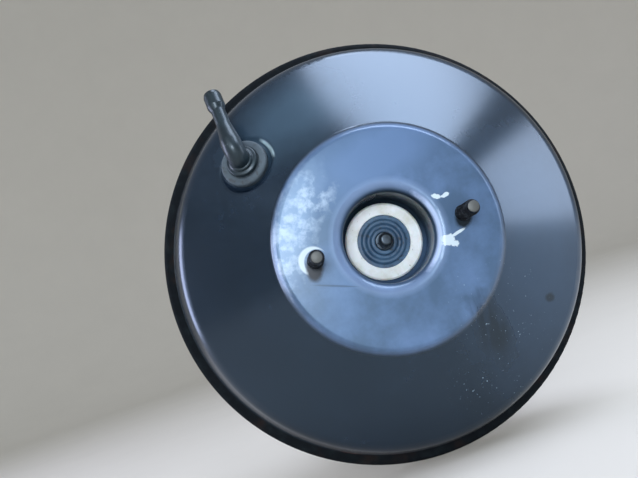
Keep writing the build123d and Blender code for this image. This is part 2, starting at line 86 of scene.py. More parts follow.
BOOT_LIP_R, BOOT_NECK_R, BOOT_BASE_R = 30.2, 29.1, 22.0
BALL_Y, BALL_R, ROD_NECK_R, ROD_R, ROD_THREAD_R = -9.0, 6.0, 4.0, 4.75, 5.0
ROD_THREAD_Y, ROD_END_Y = 84.0, 107.0

# Springs: wire radius, the two seats along the spring's axis, the radius at each seat, and the turns.
MAIN_SPRING = {"wire_r": 2.0, "seats": (-89.9, -20.2), "radii": (50.0, 34.0), "turns": 5.5}
ROD_SPRING = {"wire_r": 0.9, "seats": (15.8, 37.0), "radii": (14.6, 9.0), "turns": 4}
VALVE_SPRING = {"wire_r": 0.35, "seats": (-4.8, 4.0), "radii": (2.6, 2.6), "turns": 4}
SPRING_GAP = 0.1  # between the end turns and their seats

# Bodies that the pieces ride on.
CASE, PISTON, ROD, VALVE = "booster_case", "power_piston", "input_rod", "check_valve"


def linear(code):
    """An sRGB hex colour as linear light."""
    channels = [int(code[i : i + 2], 16) / 255 for i in (1, 3, 5)]
    return [c / 12.92 if c <= 0.04045 else ((c + 0.055) / 1.055) ** 2.4 for c in channels]


def solid(code):
    """An sRGB hex colour as an opaque colour socket's value."""
    return (*linear(code), 1.0)


# ---- settings a user would change ----------------------------------------------------------------
class EnamelSettings(bpy.types.PropertyGroup):
    """Colours and gloss of the stoved black enamel on both shells."""

    base: FloatVectorProperty(
        name="Enamel", description="Blue-black of the clean enamel", subtype="COLOR",
        min=0, max=1, default=linear("#091420"))
    film: FloatVectorProperty(
        name="Film", description="Pale film of handling and brake dust", subtype="COLOR",
        min=0, max=1, default=linear("#526a88"))
    bare: FloatVectorProperty(
        name="Bare metal", description="Steel and primer where the enamel is scraped off", subtype="COLOR",
        min=0, max=1, default=linear("#cfdde2"))
    rust: FloatVectorProperty(
        name="Rust", description="Rust creeping from the crimped rim", subtype="COLOR",
        min=0, max=1, default=linear("#6b4334"))
    gloss: FloatProperty(
        name="Roughness", description="Roughness of the clean enamel", subtype="FACTOR",
        min=0, max=1, default=0.27)


class ThreadSettings(bpy.types.PropertyGroup):
    """Rolled threads of the studs and the input rod."""

    stud_pitch: FloatProperty(
        name="Stud pitch", description="Pitch of the M8 studs",
        unit="LENGTH", default=1.25 * MM, precision=5)
    rod_pitch: FloatProperty(
        name="Rod pitch", description="Pitch of the M10 input rod",
        unit="LENGTH", default=1.5 * MM, precision=5)
    facets: IntProperty(name="Facets", description="Sides of a turned thread", min=16, max=128, default=56)


class StageSettings(bpy.types.PropertyGroup):
    """Floor and lamps."""

    floor: FloatVectorProperty(
        name="Floor", description="Colour of the seamless floor", subtype="COLOR",
        min=0, max=1, default=linear("#d0ccc2"))
    key: FloatProperty(
        name="Key lamp", description="Power of the overhead softbox", unit="POWER", default=11.0)
    side: FloatProperty(
        name="Side lamp", description="Power of the right softbox", unit="POWER", default=3.6)
    window: FloatProperty(
        name="Window", description="Power of the lamp in front of the flat face", unit="POWER", default=14.5)
    edge: FloatProperty(
        name="Edge lamp", description="Power of the lamp seen in the left shoulder",
        unit="POWER", default=9.0)
    fill: FloatProperty(
        name="Fill lamp", description="Power of the lamp behind the camera", unit="POWER", default=6.5)
    glow: FloatProperty(
        name="Backdrop", description="Light of the backdrop itself, seen but not cast",
        min=0, max=1, default=0.15)
    sky: FloatProperty(
        name="Sky", description="Strength of the even light from all round", min=0, max=2, default=0.42)


# ---- mesh helpers --------------------------------------------------------------------------------
def rounded(corners, closed=True, steps=5):
    """Outline points from (radius, height, rounding) corners; a corner with no rounding stays sharp."""
    points = []
    for i, corner in enumerate(corners):
        here = Vector(corner[:2])
        rounding = corner[2] if len(corner) > 2 else 0
        if not rounding or (not closed and i in (0, len(corners) - 1)):
            points.append(here)
            continue
        back = Vector(corners[i - 1][:2]) - here
        on = Vector(corners[(i + 1) % len(corners)][:2]) - here
        half = back.angle(on) / 2
        cut = rounding / math.tan(half)
        centre = here + (back.normalized() + on.normalized()).normalized() * (rounding / math.sin(half))
        start, end = here + back.normalized() * cut - centre, here + on.normalized() * cut - centre
        for k in range(steps + 1):
            points.append(centre + start.slerp(end, k / steps).normalized() * rounding)
    return points


def about(centre, axis):
    """A place whose Z runs along the axis, in millimetres."""
    return Matrix.Translation(centre) @ Vector(axis).to_track_quat("Z", "Y").to_matrix().to_4x4()


AHEAD = (0, 1, 0)  # along the booster's axis, towards the pedal
BOOSTER_AXIS = about((0, 0, 0), AHEAD)


def lathe(name, outline, place, segments=128, closed=True, shape=None):
    """A turned piece. shape(radius, height, turn) may change a point's radius."""
    points, faces, rows = [], [], []
    for radius, height in outline:
        if radius < 1e-6:
            rows.append([len(points)] * segments)
            points.append(place @ Vector((0, 0, height)) * MM)
            continue
        rows.append(list(range(len(points), len(points) + segments)))
        for k in range(segments):
            turn = 2 * math.pi * k / segments
            r = shape(radius, height, turn) if shape else radius
            points.append(place @ Vector((r * math.cos(turn), r * math.sin(turn), height)) * MM)
    pairs = list(zip(rows, rows[1:])) + ([(rows[-1], rows[0])] if closed else [])
    for low, high in pairs:
        for k in range(segments):
            n = (k + 1) % segments
            corners = [low[k], low[n], high[n], high[k]]
            face = [c for i, c in enumerate(corners) if c not in corners[:i]]
            if len(face) > 2:
                faces.append(face)
    return mesh_piece(name, points, faces)


def mesh_piece(name, points, faces, sharp=35.0):
    """A smooth-shaded mesh whose edges over the sharp angle stay crisp."""
    mesh = bpy.data.meshes.new(name)
    mesh.from_pydata(points, [], faces)
    mesh.validate()
    made = bpy.data.objects.new(name, mesh)
    bpy.context.scene.collection.objects.link(made)
    outward(made)
    mesh.shade_smooth()
    mesh.set_sharp_from_angle(angle=math.radians(sharp))
    return made


def coiled(name, place, wire_r, seats, radii, turns, per_turn=48, sides=14):
    """A compression spring between two seats; its radius runs from the first value to the second."""
    low, high = seats[0] + wire_r + SPRING_GAP, seats[1] - wire_r - SPRING_GAP
    steps = round(turns * per_turn)
    points = []
    for i in range(steps + 1):
        share = i / steps
        turn = 2 * math.pi * turns * share
        middle, height = radii[0] + (radii[1] - radii[0]) * share, low + (high - low) * share
        for k in range(sides):
            around = 2 * math.pi * k / sides
            r = middle + wire_r * math.cos(around)
            points.append(place @ Vector((
                r * math.cos(turn), r * math.sin(turn), height + wire_r * math.sin(around))) * MM)
    faces = [list(range(sides)), [steps * sides + k for k in range(sides)]]
    for start in range(0, steps * sides, sides):
        for k in range(sides):
            n = (k + 1) % sides
            faces.append([start + k, start + n, start + sides + n, start + sides + k])
    return mesh_piece(name, points, faces)


def squashed_spring(node, body, size, place):
    """Winds a spring in a node's place and seats it on a body."""
    made = coiled(node + "_wound", place, **size)
    seat_in(made, body, node, "spring")
    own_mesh(made)


def outward(made):
    """Turns a mesh's faces outwards."""
    work = bmesh.new()
    work.from_mesh(made.data)
    bmesh.ops.recalc_face_normals(work, faces=work.faces)
    work.to_mesh(made.data)
    work.free()


def joined(name, parts):
    """Several meshes as one piece."""
    points, faces = [], []
    for part in parts:
        offset = len(points)
        points += [v.co.copy() for v in part.data.vertices]
        faces += [[offset + i for i in face.vertices] for face in part.data.polygons]
        mesh = part.data
        bpy.data.objects.remove(part)
        bpy.data.meshes.remove(mesh)
    return mesh_piece(name, points, faces)


def thread_depth(height, turn, pitch, low, high):
    """Depth below the crest of a rolled thread, running out at both ends."""
    tooth = abs(2 * ((height / pitch - turn / (2 * math.pi)) % 1) - 1)
    cut = min(max((tooth - 0.12) / 0.72, 0), 1)
    fade = min(max((height - low) / pitch, 0), max((high - height) / (0.6 * pitch), 0), 1)
    return 0.58 * pitch * cut * fade


def thread_heights(low, high, pitch, per_turn=8):
    """Even heights along a thread, per_turn to each turn."""
    count = round((high - low) / pitch * per_turn)
    return [low + (high - low) * i / count for i in range(count + 1)]


# ---- node helper ---------------------------------------------------------------------------------
def add(tree, kind, inputs=(), **settings):
    """Adds a node: settings are its own, inputs are values or the sockets that feed it."""
    made = tree.nodes.new(kind)
    for name, value in settings.items():
        setattr(made, name, value)
    for name, value in dict(inputs).items():
        if isinstance(value, bpy.types.NodeSocket):
            tree.links.new(value, made.inputs[name])
        else:
            made.inputs[name].default_value = value
    return made


def started(name, **sockets):
    """A new material: its tree, its shader and the object's own coordinates."""
    material = bpy.data.materials.new(name)
    material.use_nodes = True
    tree = material.node_tree
    shader = tree.nodes["Principled BSDF"]
    for socket, value in sockets.items():
        shader.inputs[socket.replace("_", " ")].default_value = value
    return material, tree, shader, add(tree, "ShaderNodeTexCoord").outputs["Object"]


def grain(tree, where, size_mm, low=0.35, high=0.65, detail=4.0, stretch=(1, 1, 1)):
    """A 0 to 1 mask of blotches about size_mm across."""
    spread = add(tree, "ShaderNodeMapping", {"Vector": where, "Scale": stretch})
    noise = add(tree, "ShaderNodeTexNoise", {
        "Vector": spread.outputs[0], "Scale": 0.5 / (size_mm * MM), "Detail": detail, "Roughness": 0.6})
    return add(tree, "ShaderNodeMapRange", {
        "Value": noise.outputs[0], "From Min": low, "From Max": high}).outputs[0]


def spot(tree, where, centre, half, turn=0.0, ragged=0.5, size_mm=2.0, soft=0.25):
    """A mask that is 1 inside a ragged ellipse; centre and half sizes in millimetres, turned about Y."""
    local = add(tree, "ShaderNodeMapping", {
        "Vector": where, "Location": [c * MM for c in centre], "Rotation": (0, math.radians(turn), 0),
        "Scale": [h * MM for h in half]}, vector_type="TEXTURE")
    away = add(tree, "ShaderNodeVectorMath", {0: local.outputs[0]}, operation="LENGTH")
    noise = add(tree, "ShaderNodeTexNoise", {
        "Vector": where, "Scale": 0.5 / (size_mm * MM), "Detail": 3.0, "Roughness": 0.65})
    edge = add(tree, "ShaderNodeMath", {
        0: noise.outputs[0], 1: 2 * ragged, 2: away.outputs["Value"]}, operation="MULTIPLY_ADD")
    return add(tree, "ShaderNodeMapRange", {
        "Value": edge.outputs[0], "From Min": 1 + ragged - soft, "From Max": 1 + ragged + soft,
        "To Min": 1.0, "To Max": 0.0}).outputs[0]


def either(tree, *masks):
    """The stronger of several masks at each point."""
    best = masks[0]
    for mask in masks[1:]:
        best = add(tree, "ShaderNodeMath", {0: best, 1: mask}, operation="MAXIMUM").outputs[0]
    return best


def both(tree, first, second):
    """Where two masks overlap."""
    return add(tree, "ShaderNodeMath", {0: first, 1: second}, operation="MULTIPLY").outputs[0]


def faint(tree, mask, share):
    """A mask at a share of its strength."""
    return both(tree, mask, share)


def layered(tree, shader, colour, roughness, layers):
    """Feeds the shader with layers of (mask, colour, roughness), each over the last."""
    for mask, over, rough in layers:
        tones, gloss = {0: mask, 6: colour, 7: over}, {0: mask, 2: roughness, 3: rough}
        colour = add(tree, "ShaderNodeMix", tones, data_type="RGBA").outputs[2]
        roughness = add(tree, "ShaderNodeMix", gloss, data_type="FLOAT").outputs[0]
    tree.links.new(colour, shader.inputs["Base Color"])
    tree.links.new(roughness, shader.inputs["Roughness"])


def bumped(tree, shader, height, depth_mm, strength=1.0):
    """Gives the shader a relief of about depth_mm from a mask."""
    bump = add(tree, "ShaderNodeBump", {"Height": height, "Distance": depth_mm * MM, "Strength": strength})
    tree.links.new(bump.outputs[0], shader.inputs["Normal"])


def radius_of(tree, where, centre=(0, 0)):
    """Distance in metres from a line along Y through centre, an (x, z) in millimetres."""
    aside = add(tree, "ShaderNodeVectorMath", {
        0: where, 1: (centre[0] * MM, 0, centre[1] * MM)}, operation="SUBTRACT").outputs[0]
    flat = add(tree, "ShaderNodeVectorMath", {0: aside, 1: (1, 0, 1)}, operation="MULTIPLY")
    return add(tree, "ShaderNodeVectorMath", {0: flat.outputs[0]}, operation="LENGTH").outputs["Value"]


def between(tree, value, low, high, soft):
    """1 where low < value < high; value in metres, the others in millimetres."""
    up = add(tree, "ShaderNodeMapRange", {
        "Value": value, "From Min": (low - soft) * MM, "From Max": (low + soft) * MM})
    down = add(tree, "ShaderNodeMapRange", {
        "Value": value, "From Min": (high - soft) * MM, "From Max": (high + soft) * MM,
        "To Min": 1.0, "To Max": 0.0})
    return both(tree, up.outputs[0], down.outputs[0])


# ---- materials -----------------------------------------------------------------------------------
def stoved_enamel(front):
    """Black stoving enamel, sprayed and baked on deep-drawn steel sheet."""
    # Baked enamel mirrors the sky with a blue cast and a faint orange peel; years by the engine leave
    # a grey-blue film on the flat face, scrapes to bright steel round the studs and pocket, and rust
    # at the crimp.
    look = bpy.context.scene.booster_enamel
    material, tree, shader, where = started(
        "stoved_black_enamel_front" if front else "stoved_black_enamel_rear",
        IOR=1.6, Specular_Tint=(0.44, 0.73, 1.0, 1.0), Coat_Weight=0.5, Coat_Roughness=0.2)
    r = radius_of(tree, where)
    y = add(tree, "ShaderNodeSeparateXYZ", {0: where}).outputs["Y"]
    film, bare, rust = ((*colour, 1.0) for colour in (look.film, look.bare, look.rust))
    dusty = both(tree, grain(tree, where, 26.0, 0.35, 0.8, 5.0), grain(tree, where, 2.2, 0.3, 0.8, 6.0))
    layers = [(faint(tree, dusty, 0.11), film, 0.36)]
    if front:
        layers += master_cylinder_side(tree, where, r, y, film, bare)
    rim = both(tree, between(tree, r, SHELL_R + 1.0, RIM_R + 2.0, 0.8), spot(
        tree, where, (-24, -30, -RIM_R + 8), (60, 60, 22), 0, 0.5, 20.0, 0.3))
    rusted = both(tree, rim, grain(tree, where, 8.0, 0.5, 0.66, 6.0))
    layers.append((faint(tree, rusted, 0.8), rust, 0.8))
    layered(tree, shader, (*look.base, 1.0), look.gloss, layers)
    bumped(tree, shader, grain(tree, where, 1.4, 0.2, 0.8, 2.0), 0.012, 0.5)
    return material


# Marks on the front shell: centre, half sizes, turn, raggedness, grain and softness, as spot() takes them.
# Painted light: a paler patch on the upper part of the flat face.
UPPER_PAINTED_LIGHT = ((7, FRONT_Y, 42), (36, 12, 17), -12, 0.3, 12.0, 0.5)
LEFT_SCUFF = ((-50, FRONT_Y, 17), (10, 12, 34), 36, 0.5, 7.0, 0.45)
LEFT_RUBS = (
    ((-49, FRONT_Y, 14), (10, 9, 27), 32, 0.7, 4.0, 0.5),
    ((-36, FRONT_Y, 28), (9, 9, 13), 45, 0.9, 4.0, 0.6),
)
FINGER_LINE = ((-34.5, FRONT_Y, -15.2), (10.5, 6, 0.5), 20, 0.25, 3.0, 0.3)
LOWER_DUST = ((76, -70, -34), (44, 60, 52), 0, 0.4, 22.0, 0.6)
UPPER_DUST = ((-30, -75, 80), (28, 50, 18), -20, 0.5, 14.0, 0.6)
# Painted highlight: a pale arc on the rounded rim of the grommet's pad.
PAD_PAINTED_HIGHLIGHT = ((-43.9, -76, 67.5), (3.5, 30, 6.5), -17, 0.4, 4.0, 0.3)
PAD_RIM = 15.1, 16.4, 0.4  # inner and outer radius and softness, as between() takes them
# Painted reflection: a dark, glossy, streaked patch by the lower right of the flat face.
DARK_PAINTED_REFLECTION = ((37, -76, -61), (8.0, 30, 19), -14, 0.5, 6.0, 0.45)
OIL_DROP = ((76.1, -75, -57), (3.0, 30, 2.4), 0, 0.5, 2.5, 0.25)
# Painted shadows: near-black matt patches under the master-cylinder studs.
STUD_PAINTED_SHADOW = (
    ((-41.5, FRONT_Y, -3.2), (4.2, 6, 7.0), 16, 0.2, 2.0, 0.2),
    ((39.4, FRONT_Y, -2.2), (4.3, 6, 5.6), 30, 0.2, 2.0, 0.2),
)
CHIPS = (
    ((27.6, FRONT_Y, -10.7), (3.8, 8, 2.7), -10, 0.7, 1.2, 0.1),
    ((30.5, FRONT_Y, -13.7), (2.4, 8, 1.5), 20, 0.8, 1.0, 0.12),
    ((34.3, FRONT_Y, -8.8), (4.4, 8, 0.8), -14, 0.4, 1.2, 0.12),
    ((29.5, FRONT_Y, 12.3), (2.2, 8, 1.3), 30, 0.9, 1.0, 0.12),
    ((34.1, FRONT_Y, 11.6), (2.5, 8, 1.0), -10, 0.9, 1.0, 0.12),
)
WORN_LIP = ((22, FRONT_Y, -5), (12, 9, 20), 0, 0.4, 3.0, 0.3)
POCKET_SHADE = ((8, -80, 14), (27, 40, 21), 0, 0.1, 9.0, 0.3)
CRESCENT_OUTER, CRESCENT_INNER = ((-41.3, 0.3), 7.4), ((-39.4, -0.9), 6.6)  # centre (x, z) and radius
SPECKLED = (
    ((45, -75, -55), (26, 40, 22), 30, 0.6, 9.0, 0.5),
    ((30, -75, -92), (18, 40, 14), 0, 0.6, 9.0, 0.5),
)


def master_cylinder_side(tree, where, r, y, film, bare):
    """Layers of film, scrapes and grime on the front shell, and of painted shade, shadows, highlights and a
    dark reflection.
    """
    face = between(tree, y, FRONT_Y - 2.0, FILM_END_Y, 1.2)
    plateau = both(tree, face, between(tree, r, LIP_R, STEP_FOOT_R, 1.5))
    upper = both(tree, plateau, spot(tree, where, *UPPER_PAINTED_LIGHT))
    bloom = both(tree, plateau, grain(tree, where, 13.0, 0.42, 0.72, 6.0))
    # Painted highlight: a faint paler ring on the pocket's rounded lip.
    lip = both(tree, face, between(tree, r, LIP_R + 0.6, LIP_R + 5.5, 1.6))
    scuff = both(tree, plateau, spot(tree, where, *LEFT_SCUFF))
    rubbed = both(tree, both(tree, plateau, grain(tree, where, 3.0, 0.46, 0.62, 6.0)), either(
        tree, *(spot(tree, where, *mark) for mark in LEFT_RUBS)))
    streaks = grain(tree, where, 6.0, 0.25, 0.5, 3.0, (3.0, 1, 0.35))
    dark_painted_reflection = both(tree, spot(tree, where, *DARK_PAINTED_REFLECTION), streaks)
    (outer_at, outer_r), (inner_at, inner_r) = CRESCENT_OUTER, CRESCENT_INNER
    crescent = both(
        tree, between(tree, radius_of(tree, where, outer_at), -2.0, outer_r, 0.4),
        between(tree, radius_of(tree, where, inner_at), inner_r, 20.0, 0.3))
    chips = either(tree, crescent, *(spot(tree, where, *mark) for mark in CHIPS))
    lip_edge = both(tree, between(tree, r, LIP_R, LIP_R + 2.2, 0.5), face)
    worn_lip = both(tree, lip_edge, spot(tree, where, *WORN_LIP))
    specks = both(tree, grain(tree, where, 0.8, 0.69, 0.73, 2.0), either(
        tree, *(spot(tree, where, *mark) for mark in SPECKLED)))
    pad_painted_highlight = both(tree, spot(tree, where, *PAD_PAINTED_HIGHLIGHT), between(
        tree, radius_of(tree, where, (GROMMET_PLACE.x, GROMMET_PLACE.z)), *PAD_RIM))
    # The pocket's wall, painted pale as light falling on it; its upper part is then painted dark as shade.
    wall = both(tree, between(tree, r, -2.0, LIP_R, 1.0), between(
        tree, y, FRONT_Y + 1.5, POCKET_FLOOR_Y + 3.0, 1.5))
    shaded = both(tree, wall, spot(tree, where, *POCKET_SHADE))
    # Painted shade: the concave corner between the drum and the crimped rim is painted near black.
    corner = both(tree, between(tree, r, SHELL_R - 1.0, SHELL_R + 2.2, 0.7), between(
        tree, y, RIM_FRONT_Y - 3.4, RIM_FRONT_Y + 1.2, 0.8))
    return [
        (faint(tree, spot(tree, where, *LOWER_DUST), 0.26), film, 0.36),
        (faint(tree, spot(tree, where, *UPPER_DUST), 0.34), solid("#557083"), 0.36),
        # Painted highlight on the rim of the grommet's pad.
        (faint(tree, pad_painted_highlight, 0.85), solid("#c4dfe6"), 0.4),
        (faint(tree, plateau, 0.66), film, 0.38),
        # Painted light on the upper flat face, together with random paler clouds in the film.
        (faint(tree, either(tree, upper, bloom), 0.5), solid("#6e8ab6"), 0.42),
        # Painted highlight on the pocket's lip.
        (faint(tree, lip, 0.35), solid("#8fa4c6"), 0.36),
        (faint(tree, scuff, 0.4), solid("#a3c2e2"), 0.40),
        (faint(tree, rubbed, 0.6), solid("#cfe2f2"), 0.5),
        (faint(tree, spot(tree, where, *FINGER_LINE), 0.55), solid("#1a2430"), 0.5),
        # A dark painted reflection, streaked.
        (dark_painted_reflection, solid("#0a1017"), 0.2),
        (spot(tree, where, *OIL_DROP), solid("#0c1219"), 0.4),
        # Painted light on the pocket's wall, in the pale film's colour.
        (faint(tree, wall, 0.6), film, 0.4),
        (shaded, solid("#081018"), 0.8),
        # Painted shade in the corner at the rim.
        (corner, solid("#030405"), 0.95),
        (chips, bare, 0.55),
        # Painted shadows under the master-cylinder studs.
        (either(tree, *(spot(tree, where, *mark) for mark in STUD_PAINTED_SHADOW)), solid("#06090d"), 0.95),
        (faint(tree, worn_lip, 0.85), solid("#c9dcff"), 0.4),
        (faint(tree, specks, 0.8), solid("#9fb6c2"), 0.6),
    ]


def crimp_painted_shade():
    """Painted shade on the crimped rim's front face and rounded edge, with paler grit."""
    # Painted shade, almost black and quite matt, with paler grit, so that the rim reads as a dark line round
    # the drum.
    material, tree, shader, where = started("painted_shade_crimp", Specular_IOR_Level=0.12)
    layered(tree, shader, solid("#0d1216"), 0.8, [
        (grain(tree, where, 2.5, 0.5, 0.75, 5.0), solid("#1c2326"), 0.9),
        (faint(tree, grain(tree, where, 9.0, 0.55, 0.75, 5.0), 0.5), solid("#3a2a22"), 0.9)])
    bumped(tree, shader, grain(tree, where, 0.7, 0.3, 0.7, 3.0), 0.06, 0.6)
    return material


def dark_plated_thread():
    """Phosphated and oiled steel, rolled."""
    # Near black in the thread roots, rubbed to grey on the crests; the end faces are painted a lighter grey,
    # a painted highlight.
    material, tree, shader, where = started("phosphated_rolled_steel", Metallic=0.85)
    y = add(tree, "ShaderNodeSeparateXYZ", {0: where}).outputs["Y"]
    # Painted highlight on the end faces of the studs.
    ends = either(
        tree, between(tree, y, FRONT_Y - MC_STUD_OUT - 1, FRONT_Y - MC_STUD_OUT + 0.3, 0.15),
        between(tree, y, REAR_STUD_OUT - 0.3, REAR_STUD_OUT + 1, 0.15))
    layered(tree, shader, solid("#1b1f24"), 0.42, [
        (grain(tree, where, 1.8, 0.5, 0.7, 5.0), solid("#4c535b"), 0.32),
        (grain(tree, where, 4.0, 0.4, 0.7, 4.0), solid("#101215"), 0.62),
        (faint(tree, ends, 0.9), solid("#6b6d6a"), 0.55)])
    bumped(tree, shader, grain(tree, where, 1.8, 0.5, 0.7, 5.0), 0.03, 0.5)
    return material


def ground_steel():
    """Ground steel rod, lightly oiled."""
    # Mid grey with fine turned rings that stretch the highlight.
    material, tree, shader, where = started("ground_steel", Metallic=1.0)
    layered(tree, shader, solid("#4d565d"), 0.35, [
        (grain(tree, where, 3.0, 0.45, 0.75, 5.0), solid("#2b3136"), 0.5)])
    bumped(tree, shader, grain(tree, where, 0.4, 0.3, 0.7, 2.0, (0.3, 3, 0.3)), 0.01, 0.5)
    return material


def zinc_plate():
    """Zinc-plated steel, passivated."""
    # Dull bluish grey with faint yellow passivation blooms and white corrosion in spots.
    material, tree, shader, where = started("passivated_zinc_plate", Metallic=1.0)
    layered(tree, shader, solid("#9ba1a4"), 0.38, [
        (grain(tree, where, 6.0, 0.4, 0.7, 5.0), solid("#8f8a76"), 0.45),
        (grain(tree, where, 1.2, 0.62, 0.72, 5.0), solid("#c9cbc8"), 0.7)])
    bumped(tree, shader, grain(tree, where, 0.8, 0.3, 0.7, 2.0), 0.01, 0.6)
    return material


def spring_wire():
    """Oiled carbon-steel spring wire."""
    # Dark, slightly blue from tempering, with a wet oil sheen.
    material, tree, shader, where = started("oiled_spring_wire", Metallic=0.9, Coat_Weight=0.3)
    layered(tree, shader, solid("#4a5058"), 0.3, [(grain(tree, where, 5.0), solid("#2f333a"), 0.45)])
    return material


def moulded_rubber(name="moulded_black_rubber", tone="#17191c", bloom="#34383c", roughness=0.56):
    """Moulded EPDM rubber."""
    # Matt black with a grey bloom where the wax has come to the surface, and dust in the folds.
    material, tree, shader, where = started(name, IOR=1.52, Specular_IOR_Level=0.35)
    layered(tree, shader, solid(tone), roughness, [
        (grain(tree, where, 7.0, 0.4, 0.75, 5.0), solid(bloom), roughness + 0.14),
        (grain(tree, where, 1.1, 0.55, 0.72, 4.0), solid("#3f4142"), 0.8)])
    bumped(tree, shader, grain(tree, where, 0.5, 0.3, 0.7, 3.0), 0.03, 0.35)
    return material


def white_nylon():
    """Natural nylon 6, injection moulded."""
    # Milky white, a little translucent, faintly yellowed, with a fine matt skin.
    material, tree, shader, where = started(
        "natural_moulded_nylon", IOR=1.53, Subsurface_Weight=0.15, Subsurface_Scale=0.0015)
    layered(tree, shader, solid("#f6fbf9"), 0.42, [
        (grain(tree, where, 6.0, 0.45, 0.75, 5.0), solid("#d3d6c4"), 0.5),
        (grain(tree, where, 1.0, 0.66, 0.74, 3.0), solid("#8f8d7c"), 0.6)])
    bumped(tree, shader, grain(tree, where, 1.0, 0.3, 0.7, 2.0), 0.01, 0.4)
    return material


def black_nylon():
    """Glass-filled nylon, injection moulded in black."""
    # Satin black, with a long soft highlight and a faint grey flow pattern.
    material, tree, shader, where = started(
        "glass_filled_black_nylon", IOR=1.55, Specular_Tint=(0.7, 0.9, 1.0, 1.0), Coat_Weight=0.25,
        Coat_Roughness=0.15)
    layered(tree, shader, solid("#0b151a"), 0.42, [
        (grain(tree, where, 5.0, 0.4, 0.75, 5.0), solid("#16242b"), 0.42),
        (grain(tree, where, 0.9, 0.68, 0.78, 3.0), solid("#4a565c"), 0.6)])
    bumped(tree, shader, grain(tree, where, 0.7, 0.3, 0.7, 2.0), 0.012, 0.5)
    return material


def phenolic():
    """Compression-moulded phenolic resin."""
    # Dark brown-black with a fine mineral speckle.
    material, tree, shader, where = started("moulded_phenolic", IOR=1.6)
    layered(tree, shader, solid("#2b221c"), 0.45, [
        (grain(tree, where, 0.6, 0.5, 0.65), solid("#4a3d33"), 0.55)])
    bumped(tree, shader, grain(tree, where, 0.9), 0.02, 0.4)
    return material


def foam():
    """Open-cell polyurethane foam."""
    # Mid grey, pitted by cells about half a millimetre wide.
    material, tree, shader, where = started("open_cell_foam")
    pitted = add(tree, "ShaderNodeTexVoronoi", {"Vector": where, "Scale": 1 / (0.6 * MM)})
    cells = pitted.outputs["Distance"]
    layered(tree, shader, solid("#3c3f41"), 0.95, [(cells, solid("#6a6d6e"), 0.95)])
    bumped(tree, shader, cells, 0.3, 1.0)
    return material


def felt():
    """Pressed wool felt."""
    # Warm grey, fibres lying in all directions.
    material, tree, shader, where = started("pressed_felt", Sheen_Weight=0.4)
    fibres = grain(tree, where, 0.4, 0.3, 0.7, 6.0, (1, 1, 4))
    layered(tree, shader, solid("#a39d92"), 0.95, [(fibres, solid("#7f796f"), 0.95)])
    bumped(tree, shader, fibres, 0.2, 0.8)
    return material


FINISHES = {
    "front_enamel": lambda: stoved_enamel(True),
    "rear_enamel": lambda: stoved_enamel(False),
    "crimp_painted_shade": crimp_painted_shade,
    "thread": dark_plated_thread,
    "zinc": zinc_plate,
    "spring": spring_wire,
    "rubber": moulded_rubber,
    "grommet_rubber": lambda: moulded_rubber("weathered_grommet_rubber", "#4a565e", "#5a676e", 0.72),
    # The front seal is black rubber; its blue-grey tones are a painted reflection.
    "seal_rubber": lambda: moulded_rubber("greased_seal_painted_reflection", "#34506a", "#567894", 0.35),
    "steel": ground_steel,
    "white_nylon": white_nylon,
    "black_nylon": black_nylon,
    "phenolic": phenolic,
    "foam": foam,
    "felt": felt,
}
made_finishes = {}


def dress(piece, finish, second=None, where=None):
    """Gives a piece or a CAD node its material, and faces whose corners all pass where() a second one."""
    piece.data.materials.clear()
    for name in (finish, second) if second else (finish,):
        if name not in made_finishes:
            made_finishes[name] = FINISHES[name]()
        piece.data.materials.append(made_finishes[name])
    passed = [bool(where and where(vertex.co / MM)) for vertex in piece.data.vertices]
    for face in piece.data.polygons:
        face.material_index = int(all(passed[i] for i in face.vertices))


def seat_in(made, body, node, finish):
    """Puts a finished piece on a body, in the place of a CAD node."""
    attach(made, body)
    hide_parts(node)
    dress(made, finish)


def on_rim_face(point):
    """Whether a point, in millimetres, lies on the front face of the crimped rim or its rounded edge."""
    outside = math.hypot(point.x, point.z) > SHELL_R + RIM_CORNER - 0.1
    return outside and RIM_FRONT_Y - 0.1 < point.y < RIM_FRONT_Y + RIM_EDGE + 0.05


# ---- pieces --------------------------------------------------------------------------------------
def threaded_stud(place, grip, out):
    """A pressed-in stud: head, plain grip, rolled thread and a pilot tip."""
    threads = bpy.context.scene.booster_threads
    pitch = threads.stud_pitch / MM
    low, high = 1.5, out - STUD_TIP - 0.6
    outline = [(0, -grip - STUD_HEAD_H), (STUD_HEAD_R - 0.5, -grip - STUD_HEAD_H),
               (STUD_HEAD_R, -grip - STUD_HEAD_H + 0.5), (STUD_HEAD_R, -grip),
               (STUD_SHOULDER_R, -grip), (STUD_SHOULDER_R, 0.0), (STUD_R, 0.3), (STUD_R, low)]
    outline += [(STUD_R, h) for h in thread_heights(low, high, pitch)[1:]]
    outline += [(STUD_R - 0.6, out - STUD_TIP), (STUD_PILOT_R, out - STUD_TIP), (STUD_PILOT_R, out - 0.7),
                (STUD_PILOT_R - 0.2, out - 0.25), (STUD_PILOT_R - 0.7, out), (0, out)]

    def shape(radius, height, turn):
        if low < height < high and abs(radius - STUD_R) < 1e-6:
            return radius - thread_depth(height, turn, pitch, low, high)
        return radius
    return lathe("stud", outline, place, threads.facets, False, shape)


class BOOSTER_OT_shells(bpy.types.Operator):
    """Enamels both pressed shells"""

    bl_idname = "booster.shells"
    bl_label = "Shells"

    def execute(self, context):
        # The crimped rim's front face and edge take a second material of painted shade.
        dress(NODES["front_shell"], "front_enamel", "crimp_painted_shade", on_rim_face)
        dress(NODES["rear_shell"], "rear_enamel")
        return {"FINISHED"}


